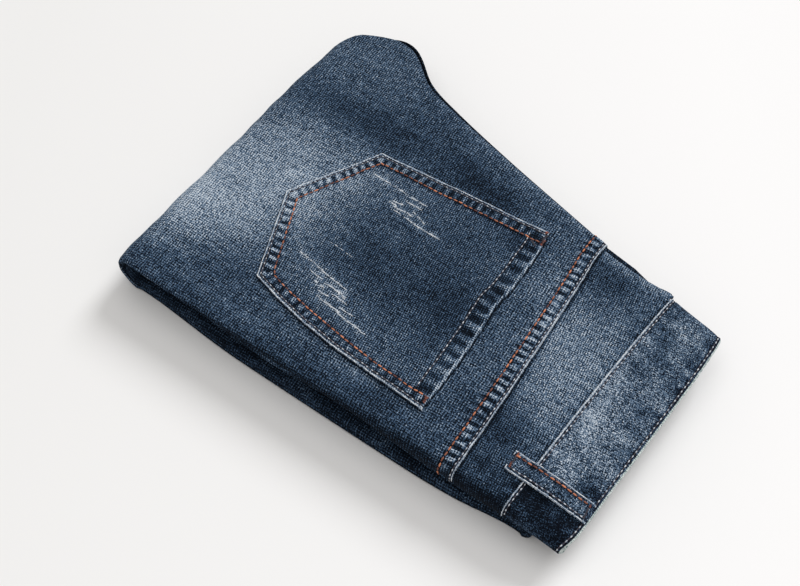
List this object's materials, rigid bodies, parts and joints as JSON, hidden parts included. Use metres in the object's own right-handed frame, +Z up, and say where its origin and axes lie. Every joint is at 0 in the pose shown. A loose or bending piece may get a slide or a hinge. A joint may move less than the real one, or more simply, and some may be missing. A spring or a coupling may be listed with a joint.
{
  "type": "folded ripped jeans",
  "caption": "Blue denim jeans folded in half and then in three, lying flat with a back half on top: pointed back pocket with two scraped patches, yoke, waistband and a side belt loop.",
  "frame": {"origin": "middle of the underside of the folded jeans' bounding box", "axes": "+X from the thigh fold to the waist, +Y from the side edge to the centre back, +Z up"},
  "size_m": [0.3704, 0.2808, 0.038],
  "materials": {
    "denim": "washed indigo twill, faded in broad bands",
    "denim_pocket": "washed indigo twill with worn white edges",
    "denim_band": "mottled washed indigo twill, turned double",
    "denim_inner": "dark indigo twill of the folded layers"
  },
  "bodies": {
    "root": {"back_panel_right": "denim", "back_panel_left": "denim", "yoke_right": "denim", "yoke_left": "denim", "waistband": "denim_band", "back_pocket_right": "denim_pocket", "belt_loop_right": "denim_band", "belt_loop_left": "denim_band", "folded_layers": "denim_inner"}
  },
  "joints": []
}
